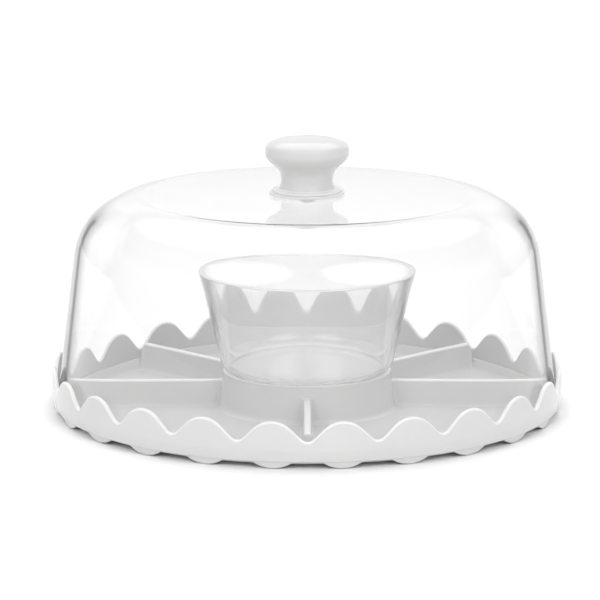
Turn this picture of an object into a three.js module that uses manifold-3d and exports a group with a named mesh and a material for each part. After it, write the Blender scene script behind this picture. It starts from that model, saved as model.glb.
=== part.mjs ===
// Chip and dip server: a scalloped serving tray with five compartments, a clear
// dip bowl that sits in the tray's raised hub, and a clear domed cover with a knob.
//
// Millimetres, +Z up, front towards -Y. The origin is on the table, under the
// middle of the tray. Angles around the tray are measured from the front (-Y)
// towards +X.

import * as THREE from 'three';
import { mergeVertices } from 'three/addons/utils/BufferGeometryUtils.js';
import Module from 'manifold-3d';

const wasm = await Module();
wasm.setup();

// ---------------------------------------------------------------- dimensions

const GAP = 0.3; // between pieces that rest on or pass through each other

// Tray: overall rim and its scallops.
const TRAY_RADIUS = 160; // outside of the upright rim
const LOBES = 24; // scallops around the rim, and feet under them
const STEPS_PER_LOBE = 8;
const CREST_HEIGHT = 28.6; // top of a scallop
const VALLEY_HEIGHT = 16.6; // lowest point between two scallops
const CREST_ROUND = 16; // radius of a scallop's top
const VALLEY_ROUND = 5; // radius of the notch between two scallops
const RIM_THICKNESS = 2.8;
const RIM_EDGE_ROUND = 1;

// Tray: skirt below the rim, seat for the cover, and feet.
const BEND_HEIGHT = 11; // the skirt leans inwards below this line
const SKIRT_FOOT_RADIUS = 158; // outside of the skirt at its lower edge
const SKIRT_EDGE_HEIGHT = 4; // lower edge of the skirt between two feet
const FOOT_WIDTH = 25; // each foot is an arc hanging below the skirt's edge
const FOOT_WALL = 3.2;
const FOOT_FLAT = 11; // flat stretch under each foot
const LEDGE_INNER_RADIUS = 152.4; // the cover stands on this ledge
const WALL_LEAN = 1.6; // the wall under the ledge leans in by this much

// Tray: floor and raised hub.
const FLOOR_UNDERSIDE = 2;
const FLOOR_TOP = 4.6;
const HUB_RIM_HEIGHT = 26.5;
const HUB_SEAT_HEIGHT = 24; // the bowl stands on this recessed seat
const HUB_SEAT_THICKNESS = 2.6;
const HUB_RIM_RADIUS = 52.4;
const HUB_RECESS_RADIUS = 50.2;
const HUB_FOOT_RADIUS = 55.2;
const HUB_WALL = 2.6;
const HUB_FILLET = 2.2;

// Tray: dividers from the hub to the wall.
const DIVIDER_ANGLES = [0, 90, 135, 225, 270]; // degrees from the front
const DIVIDER_HEIGHT = 20;
const DIVIDER_FOOT_THICKNESS = 5.4;
const DIVIDER_TOP_THICKNESS = 4.4;
const DIVIDER_EDGE_ROUND = 1.2;

// Dip bowl.
const BOWL_RIM_RADIUS = 68;
const BOWL_RIM_HEIGHT = 87;
const BOWL_WALL = 3;
const BOWL_BASE_RADIUS = 42.5; // flat part of the base
const BOWL_CORNER_ROUND = 12.5;
const BOWL_WALL_LEAN = 14; // degrees from upright
const BOWL_RIM_ROUND = 0.9;

// Domed cover.
const DOME_WALL = 3;
const DOME_FOOT_RADIUS = 156.2; // outside of the foot
const DOME_TOP_HEIGHT = 134.5;
const DOME_WALL_LEAN = 7.35; // degrees from upright
const DOME_SHOULDER_ROUND = 42.4;
const DOME_EDGE_ROUND = 0.6;
const DOME_HOLE_RADIUS = 3.2;

// Knob and its fixing.
const KNOB_TOP_HEIGHT = 170;
const OUTER_GASKET_RADIUS = 23.4;
const OUTER_GASKET_THICKNESS = 1.2;
const INNER_GASKET_RADIUS = 9.5;
const INNER_GASKET_THICKNESS = 0.8;
const GASKET_BORE_RADIUS = 3.1;
const WASHER_RADIUS = 8;
const WASHER_THICKNESS = 0.8;
const WASHER_BORE_RADIUS = 2.8;
const SCREW_RADIUS = 2.4; // M5, over a little under its crests
const SCREW_HEAD_RADIUS = 4.75; // low head
const SCREW_HEAD_HEIGHT = 2;
const SCREW_HEAD_ROUND = 0.7;
const SOCKET_ACROSS_FLATS = 3;
const SOCKET_DEPTH = 1.2;
const INSERT_RADIUS = 3.8;
const INSERT_LENGTH = 13;

// Segments around each kind of turned piece.
const DOME_SEGMENTS = 96;
const BOWL_SEGMENTS = 64;
const KNOB_SEGMENTS = 48;
const RING_SEGMENTS = 32;

// Heights of the stack on the cover's axis, from the cover outwards.
const OUTER_GASKET_BOTTOM = DOME_TOP_HEIGHT + GAP;
const KNOB_BOTTOM = OUTER_GASKET_BOTTOM + OUTER_GASKET_THICKNESS + GAP;
const INNER_GASKET_TOP = DOME_TOP_HEIGHT - DOME_WALL - GAP;
const WASHER_TOP = INNER_GASKET_TOP - INNER_GASKET_THICKNESS - GAP;
const SCREW_HEAD_TOP = WASHER_TOP - WASHER_THICKNESS - GAP;
const INSERT_BOTTOM = KNOB_BOTTOM + GAP;
const INSERT_TOP = INSERT_BOTTOM + INSERT_LENGTH;
const SCREW_END = INSERT_TOP - 1.5;

// ----------------------------------------------------------------- materials

function material(color, roughness, metalness, opacity = 1) {
  return new THREE.MeshStandardMaterial({
    color,
    roughness,
    metalness,
    opacity,
    transparent: opacity < 1,
  });
}

const WHITE_PLASTIC = material(0xf2f2f0, 0.25, 0);
const CLEAR_PLASTIC = material(0xf4f7f8, 0.05, 0, 0.3);
const CLEAR_SILICONE = material(0xe6e9ea, 0.4, 0, 0.6);
const STEEL = material(0xb9bcc0, 0.3, 1);
const BRASS = material(0xc9a45a, 0.35, 1);

// ------------------------------------------------------------------- helpers

const radians = THREE.MathUtils.degToRad;

function point(radius, height) {
  return new THREE.Vector2(radius, height);
}

// Points on an arc about a centre, from one angle to another, in degrees.
function arc(centreRadius, centreHeight, round, fromDegrees, toDegrees, steps) {
  const points = [];
  for (let step = 0; step <= steps; step += 1) {
    const angle = radians(fromDegrees + ((toDegrees - fromDegrees) * step) / steps);
    points.push(
      point(
        centreRadius + round * Math.cos(angle),
        centreHeight + round * Math.sin(angle),
      ),
    );
  }
  return points;
}

// A profile turned about Z. It starts at the front, and a closed ring repeats
// its first point at the end.
function turned(points, segments) {
  const geometry = new THREE.LatheGeometry(points, segments);
  geometry.rotateX(Math.PI / 2);
  return geometry;
}

function ring(innerRadius, outerRadius, bottom, top, edge, segments) {
  return turned(
    [
      point(innerRadius, bottom),
      point(outerRadius - edge, bottom),
      point(outerRadius, bottom + edge),
      point(outerRadius, top - edge),
      point(outerRadius - edge, top),
      point(innerRadius, top),
      point(innerRadius, bottom),
    ],
    segments,
  );
}

function toSolid(geometry) {
  const bare = geometry.clone();
  bare.deleteAttribute('normal');
  bare.deleteAttribute('uv');
  const merged = mergeVertices(bare);
  return new wasm.Manifold(
    new wasm.Mesh({
      numProp: 3,
      vertProperties: new Float32Array(merged.attributes.position.array),
      triVerts: new Uint32Array(merged.index.array),
    }),
  );
}

function toGeometry(solid) {
  const result = solid.getMesh();
  const geometry = new THREE.BufferGeometry();
  geometry.setAttribute('position', new THREE.BufferAttribute(result.vertProperties, 3));
  geometry.setIndex(new THREE.BufferAttribute(result.triVerts, 1));
  geometry.computeVertexNormals();
  return geometry;
}

function piece(name, geometry, pieceMaterial) {
  const mesh = new THREE.Mesh(geometry, pieceMaterial);
  mesh.name = name;
  return mesh;
}

// ---------------------------------------------------------------------- tray

const LOBE_PITCH = (2 * Math.PI) / LOBES;
const HALF_LOBE = (LOBE_PITCH * TRAY_RADIUS) / 2; // along the rim, crest to valley

// Distance along the rim from the middle of the nearest scallop. A valley is at
// the front, so the first scallop's middle is half a pitch round from it.
function distanceFromCrest(angle) {
  const turns = angle / LOBE_PITCH;
  return Math.abs(turns - Math.floor(turns) - 0.5) * LOBE_PITCH * TRAY_RADIUS;
}

// Rim height: a round crest, a straight flank and a round notch.
function rimHeight(distance) {
  const crestCentre = CREST_HEIGHT - CREST_ROUND;
  const valleyCentre = VALLEY_HEIGHT + VALLEY_ROUND;
  const rise = valleyCentre - crestCentre;
  const between = Math.hypot(HALF_LOBE, rise);
  const flank =
    Math.asin((CREST_ROUND + VALLEY_ROUND) / between) - Math.atan2(rise, HALF_LOBE);
  const crestEnd = CREST_ROUND * Math.sin(flank);
  const valleyStart = HALF_LOBE - VALLEY_ROUND * Math.sin(flank);
  if (distance <= crestEnd) {
    return crestCentre + Math.sqrt(CREST_ROUND ** 2 - distance ** 2);
  }
  if (distance >= valleyStart) {
    return valleyCentre - Math.sqrt(VALLEY_ROUND ** 2 - (HALF_LOBE - distance) ** 2);
  }
  const flankTop = crestCentre + CREST_ROUND * Math.cos(flank);
  return flankTop - (distance - crestEnd) * Math.tan(flank);
}

// Lower edge of the skirt: each foot comes down to the table with a flat middle.
function skirtHeight(distance) {
  const halfFlat = FOOT_FLAT / 2;
  const halfWidth = FOOT_WIDTH / 2;
  const along = (distance - halfFlat) / (halfWidth - halfFlat);
  const share = THREE.MathUtils.clamp(along, 0, 1);
  return SKIRT_EDGE_HEIGHT * share;
}

// The tray's section. The rim is drawn at crest height and the skirt's lower
// edge at table height; both are shaped around the tray afterwards.
function trayProfile() {
  const rimInner = TRAY_RADIUS - RIM_THICKNESS;
  const footInner = SKIRT_FOOT_RADIUS - FOOT_WALL;
  const wallFoot = LEDGE_INNER_RADIUS - WALL_LEAN;
  const hubInnerTop = HUB_RIM_RADIUS - HUB_WALL;
  const hubInnerFoot = HUB_FOOT_RADIUS - HUB_WALL;
  const seatUnderside = HUB_SEAT_HEIGHT - HUB_SEAT_THICKNESS;
  const edge = RIM_EDGE_ROUND;
  const hubEdge = 0.6;
  return [
    point(0, seatUnderside),
    point(hubInnerTop, seatUnderside),
    point(hubInnerFoot, FLOOR_UNDERSIDE),
    point(footInner - 1, FLOOR_UNDERSIDE),
    point(footInner, 0),
    point(SKIRT_FOOT_RADIUS, 0),
    point(TRAY_RADIUS, BEND_HEIGHT),
    point(TRAY_RADIUS, CREST_HEIGHT - edge),
    point(TRAY_RADIUS - edge, CREST_HEIGHT),
    point(rimInner + edge, CREST_HEIGHT),
    point(rimInner, CREST_HEIGHT - edge),
    point(rimInner, BEND_HEIGHT),
    point(LEDGE_INNER_RADIUS, BEND_HEIGHT),
    point(wallFoot, FLOOR_TOP),
    point(HUB_FOOT_RADIUS + HUB_FILLET, FLOOR_TOP),
    point(HUB_FOOT_RADIUS, FLOOR_TOP + HUB_FILLET),
    point(HUB_RIM_RADIUS, HUB_RIM_HEIGHT - hubEdge),
    point(HUB_RIM_RADIUS - hubEdge, HUB_RIM_HEIGHT),
    point(HUB_RECESS_RADIUS + hubEdge, HUB_RIM_HEIGHT),
    point(HUB_RECESS_RADIUS, HUB_RIM_HEIGHT - hubEdge),
    point(HUB_RECESS_RADIUS, HUB_SEAT_HEIGHT),
    point(0, HUB_SEAT_HEIGHT),
  ];
}

// Lowers the rim between scallops and lifts the skirt between feet.
function shapeRimAndFeet(geometry) {
  const positions = geometry.attributes.position;
  const rimInner = TRAY_RADIUS - RIM_THICKNESS;
  for (let index = 0; index < positions.count; index += 1) {
    const x = positions.getX(index);
    const y = positions.getY(index);
    const height = positions.getZ(index);
    const distance = distanceFromCrest(Math.atan2(x, -y));
    if (height > CREST_HEIGHT - RIM_EDGE_ROUND * 1.5 && Math.hypot(x, y) > rimInner - GAP) {
      positions.setZ(index, height - CREST_HEIGHT + rimHeight(distance));
    }
    if (height < FLOOR_UNDERSIDE / 2) {
      positions.setZ(index, skirtHeight(distance));
    }
  }
  return geometry;
}

// One divider, drawn towards the front: its section is taller than wide, with
// rounded top edges, and it runs from inside the hub's wall to the tray's wall,
// clear of the cover.
function divider(angleDegrees) {
  const bottom = (FLOOR_UNDERSIDE + FLOOR_TOP) / 2;
  const halfFoot = DIVIDER_FOOT_THICKNESS / 2;
  const halfTop = DIVIDER_TOP_THICKNESS / 2;
  const edge = DIVIDER_EDGE_ROUND;
  const section = new THREE.Shape([
    new THREE.Vector2(-halfFoot, bottom),
    new THREE.Vector2(halfFoot, bottom),
    new THREE.Vector2(halfTop, DIVIDER_HEIGHT - edge),
    new THREE.Vector2(halfTop - edge, DIVIDER_HEIGHT),
    new THREE.Vector2(edge - halfTop, DIVIDER_HEIGHT),
    new THREE.Vector2(-halfTop, DIVIDER_HEIGHT - edge),
  ]);
  const innerEnd = HUB_FOOT_RADIUS - HUB_WALL + 0.1;
  const outerEnd = LEDGE_INNER_RADIUS - WALL_LEAN;
  const geometry = new THREE.ExtrudeGeometry(section, {
    depth: outerEnd - innerEnd,
    bevelEnabled: false,
  });
  geometry.rotateX(Math.PI / 2);
  geometry.translate(0, -innerEnd, 0);
  geometry.rotateZ(radians(angleDegrees));
  return geometry;
}

// The low heel that ties a divider's outer end to the wall under the ledge.
function dividerHeel(angleDegrees) {
  const inner = LEDGE_INNER_RADIUS - WALL_LEAN - 1;
  const outer = LEDGE_INNER_RADIUS + 1;
  const top = BEND_HEIGHT - 0.2;
  const bottom = FLOOR_TOP + 0.4;
  const geometry = new THREE.BoxGeometry(
    DIVIDER_FOOT_THICKNESS - 0.6,
    outer - inner,
    top - bottom,
  );
  geometry.translate(0, -(inner + outer) / 2, (bottom + top) / 2);
  geometry.rotateZ(radians(angleDegrees));
  return geometry;
}

function servingTray() {
  const body = shapeRimAndFeet(turned(trayProfile(), LOBES * STEPS_PER_LOBE));
  let solid = toSolid(body);
  for (const angle of DIVIDER_ANGLES) {
    solid = solid.add(toSolid(divider(angle))).add(toSolid(dividerHeel(angle)));
  }
  return piece('serving_tray', toGeometry(solid), WHITE_PLASTIC);
}

// ------------------------------------------------------------------ dip bowl

function dipBowl() {
  const lean = BOWL_WALL_LEAN;
  const bottom = HUB_SEAT_HEIGHT + GAP;
  const cornerHeight = bottom + BOWL_CORNER_ROUND;
  const innerRim = BOWL_RIM_RADIUS - BOWL_WALL;
  const innerCorner = BOWL_CORNER_ROUND - BOWL_WALL;
  const edge = BOWL_RIM_ROUND;
  const steps = 4;
  const profile = [
    point(0, bottom),
    ...arc(BOWL_BASE_RADIUS, cornerHeight, BOWL_CORNER_ROUND, -90, -lean, steps),
    point(BOWL_RIM_RADIUS, BOWL_RIM_HEIGHT - edge),
    point(BOWL_RIM_RADIUS - edge, BOWL_RIM_HEIGHT),
    point(innerRim + edge, BOWL_RIM_HEIGHT),
    point(innerRim, BOWL_RIM_HEIGHT - edge),
    ...arc(BOWL_BASE_RADIUS, cornerHeight, innerCorner, -lean, -90, steps),
    point(0, bottom + BOWL_WALL),
  ];
  return piece('dip_bowl', turned(profile, BOWL_SEGMENTS), CLEAR_PLASTIC);
}

// -------------------------------------------------------------- domed cover

// The wall is a straight cone from the foot up to the shoulder, which rounds
// over into the flat top.
function domeCover() {
  const lean = DOME_WALL_LEAN;
  const foot = BEND_HEIGHT + GAP;
  const edge = DOME_EDGE_ROUND;
  const innerRound = DOME_SHOULDER_ROUND - DOME_WALL;
  const shoulderHeight = DOME_TOP_HEIGHT - DOME_SHOULDER_ROUND;
  const tangentHeight = shoulderHeight + DOME_SHOULDER_ROUND * Math.sin(radians(lean));
  const tangentRadius =
    DOME_FOOT_RADIUS - (tangentHeight - foot) * Math.tan(radians(lean));
  const shoulderRadius = tangentRadius - DOME_SHOULDER_ROUND * Math.cos(radians(lean));
  const innerFoot = DOME_FOOT_RADIUS - DOME_WALL / Math.cos(radians(lean));
  const steps = 6;
  const profile = [
    point(innerFoot + edge, foot),
    point(DOME_FOOT_RADIUS - edge, foot),
    point(DOME_FOOT_RADIUS, foot + edge),
    ...arc(shoulderRadius, shoulderHeight, DOME_SHOULDER_ROUND, lean, 90, steps),
    point(DOME_HOLE_RADIUS, DOME_TOP_HEIGHT),
    point(DOME_HOLE_RADIUS, DOME_TOP_HEIGHT - DOME_WALL),
    ...arc(shoulderRadius, shoulderHeight, innerRound, 90, lean, steps),
    point(innerFoot, foot + edge),
    point(innerFoot + edge, foot),
  ];
  return piece('dome_cover', turned(profile, DOME_SEGMENTS), CLEAR_PLASTIC);
}

// ---------------------------------------------------------- knob and fixing

// A mushroom knob: thin flange, waisted neck, and a wide rounded head. A blind
// bore from below holds the threaded insert.
function knob() {
  const bore = INSERT_RADIUS + GAP;
  const boreEnd = INSERT_TOP + 1;
  const outline = new THREE.SplineCurve([
    point(20.6, KNOB_BOTTOM + 2),
    point(17.6, KNOB_BOTTOM + 3.4),
    point(16.2, KNOB_BOTTOM + 6.4),
    point(16.6, KNOB_BOTTOM + 11),
    point(19.2, KNOB_BOTTOM + 15.2),
    point(23.6, KNOB_BOTTOM + 19.4),
    point(26.2, KNOB_BOTTOM + 24.6),
    point(25.2, KNOB_BOTTOM + 29),
    point(21, KNOB_TOP_HEIGHT - 2.4),
    point(12, KNOB_TOP_HEIGHT - 0.5),
  ]);
  const profile = [
    point(0, boreEnd),
    point(bore, boreEnd),
    point(bore, KNOB_BOTTOM),
    point(21.3, KNOB_BOTTOM),
    point(21.8, KNOB_BOTTOM + 0.6),
    point(21.8, KNOB_BOTTOM + 1.3),
    ...outline.getPoints(16),
    point(0, KNOB_TOP_HEIGHT),
  ];
  return piece('knob', turned(profile, KNOB_SEGMENTS), WHITE_PLASTIC);
}

function threadedInsert() {
  const bore = SCREW_RADIUS + GAP;
  const geometry = ring(bore, INSERT_RADIUS, INSERT_BOTTOM, INSERT_TOP, 0.4, RING_SEGMENTS);
  return piece('threaded_insert', geometry, BRASS);
}

function outerGasket() {
  const top = OUTER_GASKET_BOTTOM + OUTER_GASKET_THICKNESS;
  const geometry = ring(
    GASKET_BORE_RADIUS,
    OUTER_GASKET_RADIUS,
    OUTER_GASKET_BOTTOM,
    top,
    0.4,
    RING_SEGMENTS,
  );
  return piece('outer_gasket', geometry, CLEAR_SILICONE);
}

function innerGasket() {
  const bottom = INNER_GASKET_TOP - INNER_GASKET_THICKNESS;
  const geometry = ring(
    GASKET_BORE_RADIUS,
    INNER_GASKET_RADIUS,
    bottom,
    INNER_GASKET_TOP,
    0.4,
    RING_SEGMENTS,
  );
  return piece('inner_gasket', geometry, CLEAR_SILICONE);
}

function washer() {
  const bottom = WASHER_TOP - WASHER_THICKNESS;
  const geometry = ring(
    WASHER_BORE_RADIUS,
    WASHER_RADIUS,
    bottom,
    WASHER_TOP,
    0.3,
    RING_SEGMENTS,
  );
  return piece('washer', geometry, STEEL);
}

// The screw comes up from inside the cover, head down, with a hexagon socket.
function fixingScrew() {
  const headBottom = SCREW_HEAD_TOP - SCREW_HEAD_HEIGHT;
  const body = turned(
    [
      point(0, headBottom),
      point(SCREW_HEAD_RADIUS - SCREW_HEAD_ROUND * 2, headBottom),
      point(SCREW_HEAD_RADIUS - SCREW_HEAD_ROUND * 0.5, headBottom + SCREW_HEAD_ROUND),
      point(SCREW_HEAD_RADIUS, SCREW_HEAD_TOP - SCREW_HEAD_ROUND * 0.6),
      point(SCREW_HEAD_RADIUS, SCREW_HEAD_TOP),
      point(SCREW_RADIUS, SCREW_HEAD_TOP),
      point(SCREW_RADIUS, SCREW_END - 0.6),
      point(SCREW_RADIUS - 0.6, SCREW_END),
      point(0, SCREW_END),
    ],
    RING_SEGMENTS / 2,
  );
  const corner = SOCKET_ACROSS_FLATS / Math.sqrt(3);
  const socket = new THREE.CylinderGeometry(corner, corner, SOCKET_DEPTH * 2, 6);
  socket.rotateX(Math.PI / 2);
  socket.translate(0, 0, headBottom);
  const solid = toSolid(body).subtract(toSolid(socket));
  return piece('fixing_screw', toGeometry(solid), STEEL);
}

// ------------------------------------------------------------------ assembly

const server = new THREE.Group();
server.add(
  servingTray(),
  dipBowl(),
  domeCover(),
  outerGasket(),
  innerGasket(),
  washer(),
  fixingScrew(),
  knob(),
  threadedInsert(),
);

export default server;
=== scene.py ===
"""Looks for the chip and dip server: a scalloped white tray, a clear dip bowl and a clear domed cover.

Metres in the scene, millimetres in the section drawings below. +Z is up and the front is -Y.
Angles around the tray are measured from the front towards +X.
"""

import math

import bmesh
import bpy
import numpy as np
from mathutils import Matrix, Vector


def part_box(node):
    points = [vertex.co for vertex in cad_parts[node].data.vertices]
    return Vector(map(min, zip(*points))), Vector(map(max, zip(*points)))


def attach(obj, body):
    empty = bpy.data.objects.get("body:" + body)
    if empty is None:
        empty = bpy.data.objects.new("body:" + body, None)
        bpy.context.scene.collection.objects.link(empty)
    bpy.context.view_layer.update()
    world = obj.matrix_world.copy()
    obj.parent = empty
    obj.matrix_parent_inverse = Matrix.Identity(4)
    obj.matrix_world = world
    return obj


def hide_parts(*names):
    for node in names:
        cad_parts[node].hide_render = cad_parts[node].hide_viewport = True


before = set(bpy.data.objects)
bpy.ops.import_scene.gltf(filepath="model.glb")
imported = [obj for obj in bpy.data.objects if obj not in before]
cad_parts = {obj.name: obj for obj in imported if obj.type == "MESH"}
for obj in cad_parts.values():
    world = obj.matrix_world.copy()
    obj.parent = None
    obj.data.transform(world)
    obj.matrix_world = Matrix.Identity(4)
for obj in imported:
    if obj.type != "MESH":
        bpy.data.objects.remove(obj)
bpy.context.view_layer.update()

MM = 0.001

# ------------------------------------------------------------------ main sizes, from the CAD nodes


def reach(node):
    """How far a node reaches from the axis, in millimetres."""
    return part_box(node)[1].x / MM


def bottom(node):
    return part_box(node)[0].z / MM


def top(node):
    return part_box(node)[1].z / MM


# Scalloped rim
TRAY_RADIUS = reach("serving_tray")
RIM_WALL = 2.8
RIM_ROUND = 1.38
RIM_ZONE = TRAY_RADIUS - 4
CREST = top("serving_tray")
VALLEY = 16.6
LOBES = 24
CREST_ROUND = 16.0
VALLEY_ROUND = 5.0

# Skirt and its feet
SKIRT_EDGE = 4.0
FOOT_INNER = 154.4
FOOT_OUTER = 157.9
FOOT_HALF_WIDTH = 12.6

# Ledge, floor, hub and the seat for the bowl
LEDGE = 11.0
LEDGE_RADIUS = 152.4
FLOOR_TOP = 4.6
FLOOR_BOTTOM = 2.0
FLOOR_RADIUS = 150.8
FLOOR_WALL = 2.6
HUB_RIM = 26.5
HUB_TOP_RADIUS = 52.4
HUB_FOOT_RADIUS = 55.2
SEAT = 24.0
SEAT_RADIUS = 50.2

# Dividers
DIVIDER_ANGLES = (0, 90, 135, 225, 270)
DIVIDER_TOP = 20.0
DIVIDER_HALF_TOP = 2.2
DIVIDER_HALF_FOOT = 2.5
DIVIDER_EDGE = 1.25
DIVIDER_FILLET = 2.6

# Cover, bowl and knob
CLEAR_WALL = 3.0
STANDING_GAP = 0.05
DOME_TOP = top("dome_cover")
DOME_FOOT = reach("dome_cover")
DOME_LEAN = math.radians(7.35)
DOME_SHOULDER = 42.4
BOWL_TOP = top("dip_bowl")
BOWL_RADIUS = reach("dip_bowl")
BOWL_LEAN = math.radians(14)
BOWL_FOOT_ROUND = 12.5
KNOB_BOTTOM = bottom("knob")
KNOB_TOP = top("knob")

# ------------------------------------------------------------------ sections and turned meshes


def rounded(corners):
    """A section with its corners rounded. Each corner is (radius from the axis, height, round)."""
    widest_step = math.radians(11)
    points = []
    last = len(corners) - 1
    for i, (r, z, size) in enumerate(corners):
        here = np.array((r, z), float)
        if size == 0 or i in (0, last):
            points.append(here)
            continue
        before = np.array(corners[i - 1][:2], float) - here
        after = np.array(corners[i + 1][:2], float) - here
        before /= np.linalg.norm(before)
        after /= np.linalg.norm(after)
        half = math.acos(max(-1.0, min(1.0, float(before @ after)))) / 2
        middle = before + after
        centre = here + middle / np.linalg.norm(middle) * size / math.sin(half)
        start = here + before * size / math.tan(half) - centre
        end = here + after * size / math.tan(half) - centre
        first = math.atan2(start[1], start[0])
        sweep = (math.atan2(end[1], end[0]) - first + math.pi) % (2 * math.pi) - math.pi
        steps = max(3, math.ceil(abs(sweep) / widest_step))
        for k in range(steps + 1):
            angle = first + sweep * k / steps
            points.append(centre + size * np.array((math.cos(angle), math.sin(angle))))
    return np.array(points)


def spline(points, steps):
    """A smooth curve through the points."""
    p = np.array(points, float)
    p = np.vstack((2 * p[0] - p[1], p, 2 * p[-1] - p[-2]))
    curve = []
    for i in range(1, len(p) - 2):
        for k in range(steps):
            t = k / steps
            a = 2 * p[i]
            b = p[i + 1] - p[i - 1]
            c = 2 * p[i - 1] - 5 * p[i] + 4 * p[i + 1] - p[i + 2]
            d = -p[i - 1] + 3 * p[i] - 3 * p[i + 1] + p[i + 2]
            curve.append((a + b * t + c * t * t + d * t**3) / 2)
    curve.append(p[-2])
    return np.array(curve)


def mesh_object(name, vertices, faces, sharp=40):
    """A closed mesh, vertices in millimetres, smooth but for edges sharper than the given degrees."""
    weld = 1e-7
    mesh = bpy.data.meshes.new(name)
    mesh.from_pydata([tuple(v * MM) for v in np.asarray(vertices, float)], [], faces)
    work = bmesh.new()
    work.from_mesh(mesh)
    bmesh.ops.remove_doubles(work, verts=work.verts, dist=weld)
    bmesh.ops.dissolve_degenerate(work, edges=work.edges, dist=weld)
    bmesh.ops.recalc_face_normals(work, faces=work.faces)
    work.to_mesh(mesh)
    work.free()
    mesh.shade_smooth()
    mesh.set_sharp_from_angle(angle=math.radians(sharp))
    piece = bpy.data.objects.new(name, mesh)
    bpy.context.scene.collection.objects.link(piece)
    return piece


def turned_parts(section, segments, closed, heights=None):
    """Vertices and faces of a section turned about Z.

    heights(angles, section), where it is given, says each point's height.
    """
    angles = np.arange(segments) * 2 * math.pi / segments
    count = len(section)
    radii = np.broadcast_to(section[:, 0], (segments, count))
    z = np.broadcast_to(section[:, 1], (segments, count))
    if heights is not None:
        z = heights(angles, section)
    x = radii * np.sin(angles)[:, None]
    y = -radii * np.cos(angles)[:, None]
    vertices = np.stack((x, y, z), axis=-1).reshape(-1, 3)
    faces = []
    for i in range(segments):
        j = (i + 1) % segments
        for k in range(count if closed else count - 1):
            n = (k + 1) % count
            faces.append((i * count + k, j * count + k, j * count + n, i * count + n))
    return vertices, faces


def mark_outside(piece):
    """Marks, for the material, the vertices of a clear shell that look away from its middle; the painted
    dark edge lines go only on these.
    """
    mesh = piece.data
    middle = Vector((0, 0, 60 * MM))
    outside = mesh.attributes.new("outside", "FLOAT", "POINT")
    for vertex, mark in zip(mesh.vertices, outside.data):
        mark.value = 1.0 if vertex.normal.dot(vertex.co - middle) > 0 else 0.0
    return piece


def turned(name, section, segments, closed=False):
    """Turns a section about Z. An open section starts and ends on the axis."""
    vertices, faces = turned_parts(np.asarray(section, float), segments, closed)
    return mesh_object(name, vertices, faces)


# ------------------------------------------------------------------ serving tray

HALF_LOBE = math.pi * TRAY_RADIUS / LOBES


def from_crest(angles):
    """Distance along the rim from the middle of the nearest scallop; a valley is at the front."""
    turns = angles * LOBES / (2 * math.pi)
    return np.abs(turns - np.floor(turns) - 0.5) * 2 * HALF_LOBE


def rim_height(distance):
    """Top of the rim at a distance from a scallop's middle: round crest, straight flank, round notch."""
    crest_centre = CREST - CREST_ROUND
    valley_centre = VALLEY + VALLEY_ROUND
    rise = valley_centre - crest_centre
    between_centres = math.hypot(HALF_LOBE, rise)
    lean = math.asin((CREST_ROUND + VALLEY_ROUND) / between_centres) - math.atan2(rise, HALF_LOBE)
    crest_end = CREST_ROUND * math.sin(lean)
    notch_start = HALF_LOBE - VALLEY_ROUND * math.sin(lean)
    crest = crest_centre + np.sqrt(np.maximum(CREST_ROUND**2 - distance**2, 0))
    notch = valley_centre - np.sqrt(np.maximum(VALLEY_ROUND**2 - (HALF_LOBE - distance) ** 2, 0))
    flank = crest_centre + CREST_ROUND * math.cos(lean) - (distance - crest_end) * math.tan(lean)
    return np.where(distance <= crest_end, crest, np.where(distance >= notch_start, notch, flank))


def foot_height(distance):
    """Underside of the skirt: each foot is a shallow arc."""
    size = (FOOT_HALF_WIDTH**2 + SKIRT_EDGE**2) / (2 * SKIRT_EDGE)
    return size - np.sqrt(size**2 - np.minimum(distance, FOOT_HALF_WIDTH) ** 2)


def tray_section():
    """The tray through a scallop and a foot, from the seat out over the rim and back underneath."""
    rim_inner = TRAY_RADIUS - RIM_WALL
    seat_bottom = SEAT - FLOOR_WALL
    return rounded(
        [
            (0, SEAT, 0),
            (SEAT_RADIUS, SEAT, 0.8),
            (SEAT_RADIUS, HUB_RIM, 0.8),
            (HUB_TOP_RADIUS, HUB_RIM, 1.0),
            (HUB_FOOT_RADIUS, FLOOR_TOP, 3.4),
            (FLOOR_RADIUS, FLOOR_TOP, 2.6),
            (LEDGE_RADIUS, LEDGE, 0.5),
            (rim_inner, LEDGE, 0.7),
            (rim_inner, CREST, RIM_ROUND),
            (TRAY_RADIUS, CREST, RIM_ROUND),
            (TRAY_RADIUS, LEDGE, 3.0),
            (FOOT_OUTER + 0.8, SKIRT_EDGE, 1.0),
            (FOOT_OUTER, SKIRT_EDGE, 0.15),
            (FOOT_OUTER - 0.4, 0, 0.7),
            (FOOT_INNER + 0.2, 0, 0.7),
            (FOOT_INNER, SKIRT_EDGE, 0.15),
            (FOOT_INNER - 1.0, FLOOR_BOTTOM, 0.6),
            (HUB_FOOT_RADIUS - 2.4, FLOOR_BOTTOM, 1.0),
            (SEAT_RADIUS - 0.4, seat_bottom, 1.0),
            (0, seat_bottom, 0),
        ]
    )


def tray_heights(angles, section):
    """Lowers the rim between scallops and lifts the skirt between feet."""
    distance = from_crest(angles)[:, None]
    radius, height = section[:, 0][None, :], section[:, 1][None, :]
    on_rim = (height > CREST - RIM_ROUND - 0.2) & (radius > RIM_ZONE)
    on_foot = (height < SKIRT_EDGE) & (radius > FOOT_INNER - 0.3) & (radius < FOOT_OUTER + 0.05)
    share = height / SKIRT_EDGE
    lifted = foot_height(distance)
    foot = lifted + share * (SKIRT_EDGE - lifted)
    z = np.where(on_rim, height - CREST + rim_height(distance), height)
    return np.where(on_foot, foot, z)


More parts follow.
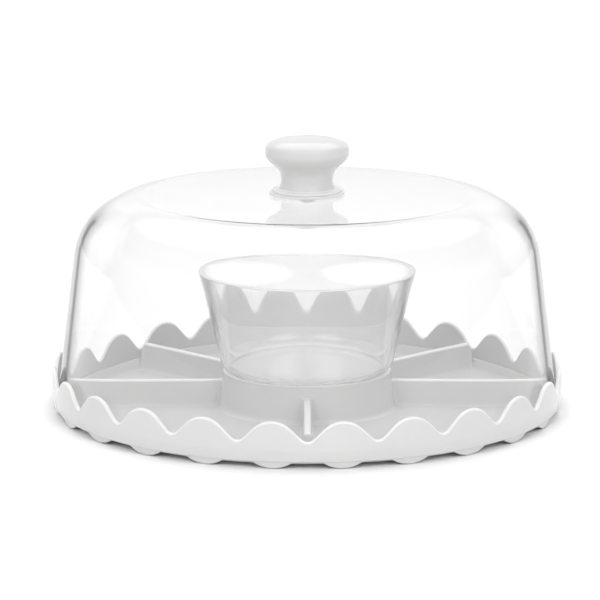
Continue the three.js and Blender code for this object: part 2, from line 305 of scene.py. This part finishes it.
def divider_girth():
    """A divider's section, across and up: rounded top, leaning sides and fillets that run into the floor."""
    fillet_centre = FLOOR_TOP + DIVIDER_FILLET
    half_flat = DIVIDER_HALF_TOP - DIVIDER_EDGE
    quarter = [math.radians(15 * k) for k in range(1, 7)]
    side = [(half_flat, DIVIDER_TOP)]
    for turn in quarter:
        across = half_flat + DIVIDER_EDGE * math.sin(turn)
        side.append((across, DIVIDER_TOP - DIVIDER_EDGE + DIVIDER_EDGE * math.cos(turn)))
    side += [(2.28, 15.5), (2.36, 12.5), (2.44, 10.0), (DIVIDER_HALF_FOOT, fillet_centre)]
    for turn in quarter:
        across = DIVIDER_HALF_FOOT + DIVIDER_FILLET - DIVIDER_FILLET * math.cos(turn)
        side.append((across, fillet_centre - DIVIDER_FILLET * math.sin(turn)))
    side.append((DIVIDER_HALF_FOOT + DIVIDER_FILLET + 0.1, FLOOR_TOP - 0.4))
    side = np.array(side)
    return np.vstack((side[::-1] * (-1, 1), side))


def flare(distance, size):
    """How far a quarter round stands out, at a distance from the wall that it runs into."""
    gap = size - min(max(distance, 0), size)
    return size - math.sqrt(size**2 - gap**2)


def hub_wall(z):
    """Radius of the hub's sloping wall at a height."""
    share = (z - FLOOR_TOP) / (HUB_RIM - FLOOR_TOP)
    return HUB_FOOT_RADIUS - share * (HUB_FOOT_RADIUS - HUB_TOP_RADIUS)


def divider_end(z):
    """Where a divider ends: a little inside the tray's wall, and above the ledge just short of it."""
    buried = 0.3
    end_radius = 151.0
    end_slope = 0.06
    if z < LEDGE - 0.5:
        share = (z - FLOOR_TOP) / (LEDGE - FLOOR_TOP)
        return FLOOR_RADIUS + share * (LEDGE_RADIUS - FLOOR_RADIUS) + buried
    return end_radius - (z - LEDGE) * end_slope


def divider_parts(degrees):
    """One divider towards the front, flared where it meets the floor, the hub and the tray's wall."""
    section = divider_girth()
    end_flare = 3.6
    end_round = 1.3
    near_hub = [-0.6, 0.0, 0.15, 0.4, 0.8, 1.3, 1.9, 2.6, *np.linspace(12, 84, 7)]
    near_end = [5.0, 3.6, 2.6, 1.9, 1.3, 0.8, 0.4, 0.15, 0.0]
    vertices = []
    for from_hub in near_hub:
        for across, z in section:
            wide = abs(across) + flare(from_hub, DIVIDER_FILLET)
            vertices.append((math.copysign(wide, across), -hub_wall(z) - from_hub, z))
    for from_end in near_end:
        for across, z in section:
            low = min(max((DIVIDER_TOP - 1 - z) / 6, 0), 1)
            high = min(max((z - 17) / 3, 0), 1)
            wide = abs(across) + flare(from_end, end_flare) * 0.6 * low
            drop = flare(from_end, end_round) * high
            vertices.append((math.copysign(wide, across), from_end - divider_end(z), z - drop))
    vertices = np.array(vertices)
    turn = math.radians(degrees)
    x = vertices[:, 0] * math.cos(turn) - vertices[:, 1] * math.sin(turn)
    y = vertices[:, 0] * math.sin(turn) + vertices[:, 1] * math.cos(turn)
    count = len(section)
    stations = len(near_hub) + len(near_end)
    faces = []
    for i in range(stations - 1):
        for k in range(count):
            n = (k + 1) % count
            a = i * count
            faces.append((a + k, a + n, a + count + n, a + count + k))
    faces.append(tuple(range(count)))
    faces.append(tuple(range((stations - 1) * count, stations * count)))
    return np.stack((x, y, vertices[:, 2]), axis=-1), faces


def mark_painted_highlight(piece, painted_highlight_at):
    """Marks, for the white plastic's painted highlight, the vertices where the given test on x, y, z in
    millimetres is true.
    """
    mesh = piece.data
    highlight_mark = mesh.attributes.new("painted_highlight_edge", "FLOAT", "POINT")
    for vertex, mark in zip(mesh.vertices, highlight_mark.data):
        mark.value = 1.0 if painted_highlight_at(*(vertex.co / MM)) else 0.0
    return piece


def tray_highlight_tops(x, y, z):
    """The rounded tops of the rim and of the dividers, which get the painted highlight."""
    radius = math.hypot(x, y)
    if radius > RIM_ZONE:
        angle = np.array(math.atan2(x, -y))
        return z > float(rim_height(from_crest(angle))) - 1.2
    return radius > HUB_FOOT_RADIUS + 0.8 and z > DIVIDER_TOP - 1.0


def serving_tray():
    vertices, faces = turned_parts(tray_section(), LOBES * 24, False, tray_heights)
    for degrees in DIVIDER_ANGLES:
        more, more_faces = divider_parts(degrees)
        start = len(vertices)
        vertices = np.vstack((vertices, more))
        faces += [tuple(start + k for k in face) for face in more_faces]
    # The rim and divider tops are marked for the painted highlight.
    return mark_painted_highlight(mesh_object("tray_looks", vertices, faces, 42), tray_highlight_tops)


# ------------------------------------------------------------------ bowl, cover, knob and fixing


def dip_bowl():
    """Tapered bowl with a wide round foot; 0.78 of the wall keeps its two sides about parallel."""
    low = SEAT + STANDING_GAP
    outer_foot = BOWL_RADIUS - (BOWL_TOP - low) * math.tan(BOWL_LEAN)
    inner_foot = outer_foot - CLEAR_WALL * 0.78
    section = rounded(
        [
            (0, low, 0),
            (outer_foot, low, BOWL_FOOT_ROUND),
            (BOWL_RADIUS, BOWL_TOP, 0.9),
            (BOWL_RADIUS - CLEAR_WALL, BOWL_TOP, 0.9),
            (inner_foot, low + CLEAR_WALL, BOWL_FOOT_ROUND - CLEAR_WALL),
            (0, low + CLEAR_WALL, 0),
        ]
    )
    return mark_outside(turned("bowl_looks", section, 256))


def dome_cover():
    """The cover's wall, which leans in towards a flat top with the screw's hole in its middle."""
    low = LEDGE + STANDING_GAP
    hole = 3.2
    under_top = DOME_TOP - CLEAR_WALL
    outer_top = DOME_FOOT - (DOME_TOP - low) * math.tan(DOME_LEAN)
    inner_foot = DOME_FOOT - CLEAR_WALL / math.cos(DOME_LEAN)
    inner_top = inner_foot - (under_top - low) * math.tan(DOME_LEAN)
    section = rounded(
        [
            (hole, DOME_TOP, 0),
            (outer_top, DOME_TOP, DOME_SHOULDER),
            (DOME_FOOT, low, 0.6),
            (inner_foot, low, 0.6),
            (inner_top, under_top, DOME_SHOULDER - CLEAR_WALL),
            (hole, under_top, 0),
        ]
    )
    return mark_outside(turned("dome_looks", section, 384, closed=True))


def knob():
    """Mushroom knob with a thin flange and a hole from below for the insert.

    It starts lower than the CAD knob, to close most of the CAD's gap above the gasket.
    """
    low = KNOB_BOTTOM - 0.2
    hole = 4.1
    hole_top = low + 16.4
    flange_top = low + 2.5
    outline = spline(
        [
            (21.6, low + 1.3),
            (20.8, low + 1.6),
            (19.2, low + 1.75),
            (17.6, low + 2.3),
            (16.6, low + 4.0),
            (16.2, low + 6.7),
            (16.9, low + 11.8),
            (19.7, low + 15.4),
            (23.8, low + 19.2),
            (26.05, low + 23.0),
            (26.25, low + 26.4),
            (25.3, KNOB_TOP - 5.0),
            (22.6, KNOB_TOP - 3.1),
            (18.0, KNOB_TOP - 1.35),
            (10.5, KNOB_TOP - 0.35),
        ],
        6,
    )
    underside = [
        (0, hole_top),
        (hole, hole_top),
        (hole, low),
        (21.2, low),
        (21.7, low + 0.25),
        (21.8, low + 0.7),
    ]
    crown = [(5.0, KNOB_TOP - 0.05), (0, KNOB_TOP)]
    section = np.vstack((underside, outline, crown))
    # The flange is marked for the painted highlight.
    return mark_painted_highlight(turned("knob_looks", section, 160), lambda x, y, z: z < flange_top)


def ring(name, inner, outer, low, high, edge, segments=96):
    """A flat ring whose outer edges are rounded."""
    corner = edge * 0.3
    section = [
        (inner, low),
        (outer - edge, low),
        (outer - corner, low + corner),
        (outer, low + edge),
        (outer, high - edge),
        (outer - corner, high - corner),
        (outer - edge, high),
        (inner, high),
    ]
    return turned(name, section, segments, closed=True)


def fixing_screw():
    """Low head with a hexagon socket, and a shank with thread rings."""
    low = bottom("fixing_screw")
    high = top("fixing_screw")
    head_top = low + 2.0
    thread_start = head_top + 1.5
    socket = 1.5
    shank = 2.4
    root = 2.05
    around = 48
    pitch = 0.8
    section = [
        (0, low + 1.25),
        (socket, low + 1.15),
        (socket, low + 0.1),
        (socket + 0.15, low),
        (3.6, low),
        (4.4, low + 0.45),
        (4.72, low + 1.2),
        (4.75, head_top - 0.1),
        (4.65, head_top),
        (shank, head_top),
        (shank, thread_start),
    ]
    for k in range(int((high - pitch - thread_start) / pitch)):
        base = thread_start + k * pitch
        section += [(shank, base + 0.1), (shank, base + 0.2), (root, base + 0.5), (root, base + 0.6)]
    section += [(shank, high - 0.7), (1.9, high), (0, high)]
    section = np.array(section)
    socket_rows = (1, 2)
    vertices, faces = turned_parts(section, around, False)
    grid = vertices.reshape(around, len(section), 3)
    for i in range(around):
        angle = 2 * math.pi * i / around
        from_flat = (angle + math.pi / 6) % (math.pi / 3) - math.pi / 6
        for k in socket_rows:
            grid[i, k, :2] *= 1 / math.cos(from_flat)
    return mesh_object("screw_looks", grid.reshape(-1, 3), faces, 32)


# ------------------------------------------------------------------ materials


def colour_ramp(tree, source, stops):
    """A ramp of greys or colours, given as (position, value) stops."""
    node = tree.nodes.new("ShaderNodeValToRGB")
    elements = node.color_ramp.elements
    while len(elements) < len(stops):
        elements.new(0.5)
    for element, (position, value) in zip(elements, stops):
        colour = value if isinstance(value, tuple) else (value, value, value)
        element.position = position
        element.color = (*colour, 1)
    tree.links.new(source, node.inputs["Fac"])
    return node.outputs["Color"]


class Shader:
    """A short way to lay out one node material."""

    def __init__(self, name):
        self.material = bpy.data.materials.new(name)
        self.material.use_nodes = True
        self.tree = self.material.node_tree
        self.nodes = self.tree.nodes
        self.surface = self.nodes["Principled BSDF"]
        self.output = self.nodes["Material Output"]
        self.place = self.nodes.new("ShaderNodeTexCoord").outputs["Object"]

    def link(self, source, target):
        self.tree.links.new(source, target)

    def noise(self, scale, detail=2.0, stretch=None):
        node = self.nodes.new("ShaderNodeTexNoise")
        node.inputs["Scale"].default_value = scale
        node.inputs["Detail"].default_value = detail
        place = self.place
        if stretch is not None:
            mapping = self.nodes.new("ShaderNodeMapping")
            mapping.inputs["Scale"].default_value = stretch
            self.link(place, mapping.inputs["Vector"])
            place = mapping.outputs["Vector"]
        self.link(place, node.inputs["Vector"])
        return node.outputs["Fac"]

    def ramp(self, source, stops):
        return colour_ramp(self.tree, source, stops)

    def between(self, source, low, high, start=0.0, end=1.0):
        node = self.nodes.new("ShaderNodeMapRange")
        node.inputs["From Min"].default_value = start
        node.inputs["From Max"].default_value = end
        node.inputs["To Min"].default_value = low
        node.inputs["To Max"].default_value = high
        self.link(source, node.inputs["Value"])
        return node.outputs["Result"]

    def bump(self, layers):
        """Layers of (height source, depth in metres), finest last."""
        normal = None
        for source, depth in layers:
            node = self.nodes.new("ShaderNodeBump")
            node.inputs["Distance"].default_value = depth
            self.link(source, node.inputs["Height"])
            if normal is not None:
                self.link(normal, node.inputs["Normal"])
            normal = node.outputs["Normal"]
        self.link(normal, self.surface.inputs["Normal"])

    def let_light_through(self, tint):
        """Shadow and bounced rays pass straight through, so that what stands under the cover is lit."""
        path = self.nodes.new("ShaderNodeLightPath")
        either = self.nodes.new("ShaderNodeMath")
        either.operation = "MAXIMUM"
        self.link(path.outputs["Is Shadow Ray"], either.inputs[0])
        self.link(path.outputs["Is Diffuse Ray"], either.inputs[1])
        clear = self.nodes.new("ShaderNodeBsdfTransparent")
        clear.inputs["Color"].default_value = (*tint, 1)
        mix = self.nodes.new("ShaderNodeMixShader")
        self.link(either.outputs[0], mix.inputs["Fac"])
        self.link(self.surface.outputs["BSDF"], mix.inputs[1])
        self.link(clear.outputs["BSDF"], mix.inputs[2])
        self.link(mix.outputs["Shader"], self.output.inputs["Surface"])


def white_plastic():
    """Glossy moulded plastic: faint clouds, uneven gloss, fine orange peel, and a painted highlight, a
    lighter colour on the marked edges where light falls.
    """
    s = Shader("white_plastic")
    highlight_mark = s.nodes.new("ShaderNodeAttribute")
    highlight_mark.attribute_name = "painted_highlight_edge"
    body_stops = [(0.3, (0.69, 0.69, 0.688)), (0.7, (0.715, 0.715, 0.713))]
    painted_edge_stops = [(0.3, (0.84, 0.84, 0.84)), (0.7, (0.87, 0.87, 0.87))]
    colour = s.nodes.new("ShaderNodeMix")
    colour.data_type = "RGBA"
    # Painted highlight: the marked rim tops, divider tops and knob flange get a lighter colour, as if they
    # caught more light.
    s.link(highlight_mark.outputs["Fac"], colour.inputs["Factor"])
    s.link(s.ramp(s.noise(22, 3), body_stops), colour.inputs["A"])
    s.link(s.ramp(s.noise(22, 3), painted_edge_stops), colour.inputs["B"])
    s.link(colour.outputs["Result"], s.surface.inputs["Base Color"])
    s.link(s.between(s.noise(60, 4), 0.06, 0.12, 0.3, 0.7), s.surface.inputs["Roughness"])
    s.surface.inputs["IOR"].default_value = 1.49
    s.bump([(s.noise(90, 2), 0.00006), (s.noise(700, 1), 0.000006)])
    return s.material


def clear_plastic(name, painted_edge_stops, rim, clarity):
    """Polished acrylic: satin above the rim height if one is given, a little milky below full clarity.

    The outer faces of upright walls take a painted shade from the edge stops. It is darkest in a narrow band
    where they are seen edge on: painted dark edge lines that stand in for dark surroundings seen in the
    wall.
    """
    s = Shader(name)
    facing = s.nodes.new("ShaderNodeLayerWeight")
    facing.inputs["Blend"].default_value = 0.5
    normal = s.nodes.new("ShaderNodeSeparateXYZ")
    s.link(s.nodes.new("ShaderNodeNewGeometry").outputs["Normal"], normal.inputs[0])
    outside = s.nodes.new("ShaderNodeAttribute")
    outside.attribute_name = "outside"
    outer_wall = s.nodes.new("ShaderNodeMath")
    outer_wall.operation = "MULTIPLY"
    s.link(s.between(normal.outputs["Z"], 1.0, 0.0, 0.7, 0.93), outer_wall.inputs[0])
    s.link(outside.outputs["Fac"], outer_wall.inputs[1])
    tint = s.nodes.new("ShaderNodeMix")
    tint.data_type = "RGBA"
    s.link(outer_wall.outputs["Value"], tint.inputs["Factor"])
    s.link(s.ramp(s.noise(30, 3), [(0.3, 0.955), (0.7, 0.972)]), tint.inputs["A"])
    # Painted shade: dark edge lines by how edge on the upright outer wall is seen.
    s.link(s.ramp(facing.outputs["Facing"], painted_edge_stops), tint.inputs["B"])
    s.link(tint.outputs["Result"], s.surface.inputs["Base Color"])
    if rim is None:
        s.surface.inputs["Transmission Weight"].default_value = clarity
    else:
        height = s.nodes.new("ShaderNodeSeparateXYZ")
        s.link(s.place, height.inputs[0])
        satin = 0.3
        through = s.between(height.outputs["Z"], clarity, satin, rim - 1.2 * MM, rim - 0.5 * MM)
        s.link(through, s.surface.inputs["Transmission Weight"])
    s.surface.inputs["IOR"].default_value = 1.49
    s.link(s.between(s.noise(40, 3), 0.0, 0.02, 0.35, 0.75), s.surface.inputs["Roughness"])
    s.bump([(s.noise(18, 1), 0.00003)])
    s.let_light_through((0.95, 0.95, 0.95))
    return s.material


def clear_silicone():
    """Soft silicone that lets through only part of the light."""
    s = Shader("clear_silicone")
    stops = [(0.3, (0.95, 0.95, 0.955)), (0.7, (0.985, 0.985, 0.985))]
    s.link(s.ramp(s.noise(80, 3), stops), s.surface.inputs["Base Color"])
    s.surface.inputs["Transmission Weight"].default_value = 0.3
    s.surface.inputs["IOR"].default_value = 1.42
    s.link(s.between(s.noise(300, 2), 0.12, 0.25), s.surface.inputs["Roughness"])
    s.let_light_through((0.9, 0.9, 0.9))
    return s.material


def metal(name, dark, light, grain):
    """Turned metal with fine marks round the axis."""
    s = Shader(name)
    s.surface.inputs["Metallic"].default_value = 1.0
    marks = s.noise(grain, 4, (0.05, 0.05, 1.0))
    s.link(s.ramp(marks, [(0.3, dark), (0.7, light)]), s.surface.inputs["Base Color"])
    s.link(s.between(s.noise(grain * 0.6, 3), 0.2, 0.38, 0.3, 0.7), s.surface.inputs["Roughness"])
    s.bump([(marks, 0.00002)])
    return s.material


# Painted shade: dark edge lines on upright outer walls, standing in for dark surroundings seen in the wall
# near its outline. Tints against how far a wall is turned away: (Layer Weight Facing, tint)
COVER_PAINTED_EDGE = [
    (0.0, 0.985),
    (0.62, 0.97),
    (0.664, 0.89),
    (0.70, 0.59),
    (0.742, 0.30),
    (0.758, 0.14),
    (0.776, 0.0),
    (0.80, 0.0),
    (0.815, 0.03),
    (0.835, 0.15),
    (0.862, 0.16),
    (0.90, 0.06),
    (1.0, 0.0),
]
# A fainter painted dark edge line for the bowl.
BOWL_PAINTED_EDGE = [(0.0, 0.985), (0.67, 0.97), (0.71, 0.7), (0.75, 0.95), (1.0, 0.95)]

WHITE = white_plastic()
CLEAR_COVER = clear_plastic("clear_cover", COVER_PAINTED_EDGE, None, 1.0)
CLEAR_BOWL = clear_plastic("clear_bowl", BOWL_PAINTED_EDGE, BOWL_TOP * MM, 0.9)
SILICONE = clear_silicone()
STEEL = metal("steel", (0.52, 0.53, 0.54), (0.66, 0.67, 0.68), 2600)
BRASS = metal("brass", (0.62, 0.44, 0.17), (0.74, 0.55, 0.25), 2200)

# ------------------------------------------------------------------ pieces on the CAD bodies


SCREW_HOLE = 3.1


def washer_ring(name, node, inner, edge):
    """A ring as wide and as high as its node."""
    return ring(name, inner, reach(node), bottom(node), top(node), edge)


def outer_gasket():
    """The ring that fills the space between the cover and the knob's flange."""
    low = DOME_TOP + 0.03
    high = KNOB_BOTTOM - 0.25
    return ring("outer_gasket_looks", SCREW_HOLE, reach("outer_gasket"), low, high, 0.45, 160)


def inner_gasket():
    return washer_ring("inner_gasket_looks", "inner_gasket", SCREW_HOLE, 0.25)


def washer():
    return washer_ring("washer_looks", "washer", 2.8, 0.2)


def threaded_insert():
    return washer_ring("insert_looks", "threaded_insert", 2.7, 0.4)


gasket = outer_gasket()
pieces = [
    (serving_tray(), WHITE, "tray", "serving_tray", "white_plastic"),
    (dip_bowl(), CLEAR_BOWL, "bowl", "dip_bowl", "clear_plastic"),
    (dome_cover(), CLEAR_COVER, "cover", "dome_cover", "clear_plastic"),
    (gasket, SILICONE, "cover", "outer_gasket", "clear_silicone"),
    (inner_gasket(), SILICONE, "cover", "inner_gasket", "clear_silicone"),
    (washer(), STEEL, "cover", "washer", "steel"),
    (fixing_screw(), STEEL, "cover", "fixing_screw", "steel"),
    (knob(), WHITE, "knob", "knob", "white_plastic"),
    (threaded_insert(), BRASS, "knob", "threaded_insert", "brass"),
]
for piece, material, body, node, slot in pieces:
    piece.data.materials.append(material)
    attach(piece, body)
    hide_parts(node)

# ------------------------------------------------------------------ floor, light and camera


def stage_floor():
    """A matt white floor, just under the feet."""
    half = 9.0
    corners = [(-half, -half, 0), (half, -half, 0), (half, half, 0), (-half, half, 0)]
    mesh = bpy.data.meshes.new("floor")
    mesh.from_pydata(corners, [], [(0, 1, 2, 3)])
    floor = bpy.data.objects.new("floor", mesh)
    bpy.context.scene.collection.objects.link(floor)
    material = bpy.data.materials.new("floor")
    material.use_nodes = True
    surface = material.node_tree.nodes["Principled BSDF"]
    surface.inputs["Base Color"].default_value = (0.96, 0.96, 0.96, 1)
    surface.inputs["Roughness"].default_value = 0.9
    surface.inputs["Specular IOR Level"].default_value = 0.0
    mesh.materials.append(material)
    floor.location.z = -0.2 * MM


def studio_world():
    """A soft white studio with no lamps: light by height, and soft lobes of light added to it.

    The key is above and a little behind, the fill in front and the back light behind. The left and
    right lobes are small and bright, above the front, and make the highlights on the plastic.
    """
    world = bpy.data.worlds.new("studio")
    world.use_nodes = True
    tree = world.node_tree
    place = tree.nodes.new("ShaderNodeTexCoord").outputs["Generated"]

    def lobe(direction, edge, full, strength):
        """Light from one direction, from none at the edge to its full strength; both are cosines."""
        towards = tree.nodes.new("ShaderNodeVectorMath")
        towards.operation = "DOT_PRODUCT"
        towards.inputs[1].default_value = Vector(direction).normalized()
        tree.links.new(place, towards.inputs[0])
        stops = [(0.0, 0.0), (edge, 0.0), (full, strength), (1.0, strength)]
        return colour_ramp(tree, towards.outputs["Value"], stops)

    split = tree.nodes.new("ShaderNodeSeparateXYZ")
    tree.links.new(place, split.inputs[0])
    by_height = [(0.0, 0.5), (0.12, 0.55), (0.3, 0.62), (0.5, 0.35), (1.0, 0.35)]
    light = colour_ramp(tree, split.outputs["Z"], by_height)
    key = lobe((0, 0.42, 0.91), 0.78, 0.9, 1.56)
    fill = lobe((0, -1, 0.12), 0.5, 0.9, 0.25)
    back = lobe((0, 1, 0.2), 0.4, 0.8, 0.36)
    left = lobe((-0.437, -0.601, 0.669), 0.93, 0.985, 2.5)
    right = lobe((0.437, -0.601, 0.669), 0.93, 0.985, 2.5)
    for extra in (key, fill, back, left, right):
        total = tree.nodes.new("ShaderNodeVectorMath")
        tree.links.new(light, total.inputs[0])
        tree.links.new(extra, total.inputs[1])
        light = total.outputs["Vector"]
    tree.links.new(light, tree.nodes["Background"].inputs["Color"])
    bpy.context.scene.world = world


def camera():
    """The photo's view, fitted to its front scallops and the cover's outline."""
    data = bpy.data.cameras.new("camera")
    data.sensor_width = 36
    data.lens = 182.1
    data.clip_start = 0.05
    data.clip_end = 50
    holder = bpy.data.objects.new("camera", data)
    holder.location = (-0.0044, -1.8584, 0.4621)
    looking_down = 12.008
    holder.rotation_euler = (math.radians(90 - looking_down), 0, 0)
    bpy.context.scene.collection.objects.link(holder)
    bpy.context.scene.camera = holder


stage_floor()
studio_world()
camera()

scene = bpy.context.scene
scene.view_settings.view_transform = "Standard"
scene.cycles.use_denoising = True
scene.cycles.use_adaptive_sampling = False
scene.cycles.max_bounces = 24
scene.cycles.transmission_bounces = 20
scene.cycles.transparent_max_bounces = 24
scene.cycles.glossy_bounces = 8
scene.cycles.diffuse_bounces = 5
scene.cycles.caustics_reflective = False
scene.cycles.caustics_refractive = False
